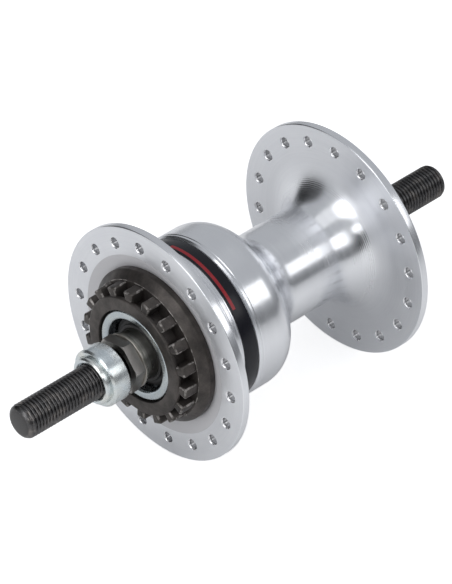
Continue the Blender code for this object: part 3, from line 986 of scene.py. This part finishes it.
def make_floor():
    """A wide pale floor just under the flanges; in reflections its glow is dimmer close to the hub, a
    painted shadow.
    """
    builder = bmesh.new()
    bmesh.ops.create_grid(builder, x_segments=12, y_segments=12, size=FLOOR_SIZE)
    n = Nodes("pale_floor")
    # Glow seen in reflections: weak close to the hub as a painted shadow, gone past the pool
    near = n.remap(n.distance((0.0, 0.0, 0.0)), *NEAR_EDGES, *NEAR_GLOW)
    far = n.remap(n.distance(POOL_CENTRE), *POOL_EDGES, 1.0, 0.0)
    glow = n.math("MULTIPLY", near, far)
    grain = n.noise(n.place, 40, 2.0)
    camera_ray = n.add("ShaderNodeLightPath").outputs["Is Camera Ray"]
    pale = n.mix(grain, FLOOR_PALE, FLOOR_PALER)
    n.finish(n.mix(camera_ray, FLOOR_REFLECTED, pale), 0.9, 0.0)
    seen = n.remap(camera_ray, 0.0, 1.0, 0.0, FLOOR_SEEN_GLOW)
    hidden = n.math("MULTIPLY", glow, n.math("SUBTRACT", 1.0, camera_ray))
    strength = n.math("ADD", seen, hidden)
    n.put((1.0, 1.0, 1.0, 1.0), n.shader.inputs["Emission Color"])
    n.put(strength, n.shader.inputs["Emission Strength"])
    floor = mesh_object("floor", builder, n.material)
    floor.location.z = cad_box[0][2] - FLOOR_GAP


def make_world():
    """Grey surroundings for reflections, darker below and with dark cards; the camera sees white."""
    world = bpy.data.worlds.new("studio")
    world.use_nodes = True
    bpy.context.scene.world = world
    g = Graph(world.node_tree)
    seen_from = g.add("ShaderNodeNewGeometry").outputs["Incoming"]

    def towards(direction):
        """How far the looked-at direction points along another one."""
        node = g.add("ShaderNodeVectorMath", operation="DOT_PRODUCT")
        g.put(seen_from, node.inputs[0])
        node.inputs[1].default_value = -Vector(direction)
        return node.outputs["Value"]

    level = g.remap(towards(SKY_UP), -SKY_BLEND, SKY_BLEND, SKY_LOW, SKY_HIGH)
    for direction, inner, outer, left in DARK_CARDS:
        shade = g.remap(towards(Vector(direction).normalized()), outer, inner, 1.0, left)
        level = g.math("MULTIPLY", level, shade)
    grey = g.add("ShaderNodeCombineColor")
    for socket, tint in zip(grey.inputs, SKY_TINT):
        g.put(g.math("MULTIPLY", level, tint), socket)
    camera_ray = g.add("ShaderNodeLightPath").outputs["Is Camera Ray"]
    background = g.tree.nodes["Background"]
    g.put(g.mix(camera_ray, grey.outputs["Color"], (1.0, 1.0, 1.0)), background.inputs["Color"])


def softbox(name, direction, distance, width, height, radiance, along=0.0):
    """An area light turned to the hub, set by its direction, size in metres and brightness.

    It is then moved along the axle, still turned the same way.
    """
    data = bpy.data.lights.new(name, "AREA")
    data.shape = "RECTANGLE"
    data.size = width
    data.size_y = height
    data.energy = radiance * math.pi * width * height
    light = bpy.data.objects.new(name, data)
    towards = Vector(direction).normalized()
    light.location = towards * distance + Vector((0, along, 0))
    light.rotation_euler = towards.to_track_quat("Z", "Y").to_euler()
    bpy.context.scene.collection.objects.link(light)


def across(angle_deg):
    """A direction square to the axle, from +X towards +Z."""
    a = math.radians(angle_deg)
    return (math.cos(a), 0, math.sin(a))


def make_lights():
    """Two long strips beside and above the axle, and two cards before its left end."""
    softbox("right_strip", across(38), distance=0.9, width=1.1, height=0.42, radiance=1.15, along=0.15)
    softbox("top_strip", across(92), distance=0.9, width=1.15, height=0.5, radiance=0.42, along=-0.20)
    softbox("front_card", (-0.04, -0.88, 0.46), distance=1.2, width=0.50, height=1.10, radiance=2.0)
    softbox("glint_card", (0.40, -0.83, 0.35), distance=1.2, width=0.18, height=0.18, radiance=5.0)


def make_camera():
    """The camera, given by the angles it looks from and a point it looks at."""
    azimuth, elevation = math.radians(VIEW_AZIMUTH), math.radians(VIEW_ELEVATION)
    flat = math.cos(elevation)
    back = Vector((math.sin(azimuth) * flat, -math.cos(azimuth) * flat, math.sin(elevation)))
    right = Vector((math.cos(azimuth), math.sin(azimuth), 0))
    up = back.cross(right)
    aim = Vector((0, AIM_Y, 0)) + AIM_RIGHT * right + AIM_UP * up
    data = bpy.data.cameras.new("camera")
    data.lens = VIEW_LENS
    data.sensor_width = VIEW_SENSOR
    data.clip_start = 0.01
    camera = bpy.data.objects.new("camera", data)
    camera.location = (aim + back * VIEW_DISTANCE) * MM
    camera.rotation_euler = Matrix((right, up, back)).transposed().to_euler()
    bpy.context.scene.collection.objects.link(camera)
    bpy.context.scene.camera = camera


def paint_frame_nodes(finish):
    """The balls, cups and cages stay as CAD nodes and get their steels."""
    for name, node in frame["nodes"].items():
        if "_ball_0" in name or "_ball_1" in name:
            steel = finish["ball"]
        elif name.endswith(("_cup", "_ball_cage")):
            steel = finish["race"]
        else:
            continue
        node.data.materials.clear()
        node.data.materials.append(steel)


def build():
    finish = make_finishes()
    make_axle(finish)
    make_fixing_nut(finish)
    make_locknut("left_locknut", LEFT_NUT_FLATS, LEFT_NUT_ANGLE, "dark_steel", finish["locknut"])
    make_locknut("right_locknut", RIGHT_NUT_FLATS, RIGHT_NUT_ANGLE, "zinc_plate", finish["zinc"])
    make_washer("left_washer", "left_keyed_washer", finish)
    make_washer("right_washer", "right_plain_washer", finish)
    make_cone("left_cone", "left_bearing_cone", -1, finish)
    make_cone("right_cone", "right_bearing_cone", 1, finish)
    make_seal("left_seal", "left_seal_ring", -1, finish)
    make_seal("right_seal", "right_seal_ring", 1, finish)
    make_dust_cap("left_dust_cap", "left_cap_ring", -1, LEFT_CAP_BORE_R, finish)
    make_dust_cap("right_dust_cap", "right_cap_ring", 1, RIGHT_CAP_BORE_R, finish)
    make_shell(finish)
    make_label(finish)
    make_boss_ring(finish)
    make_teeth(finish)
    paint_frame_nodes(finish)


build()
make_floor()
make_world()
make_lights()
make_camera()
bpy.context.scene.view_settings.view_transform = "Standard"
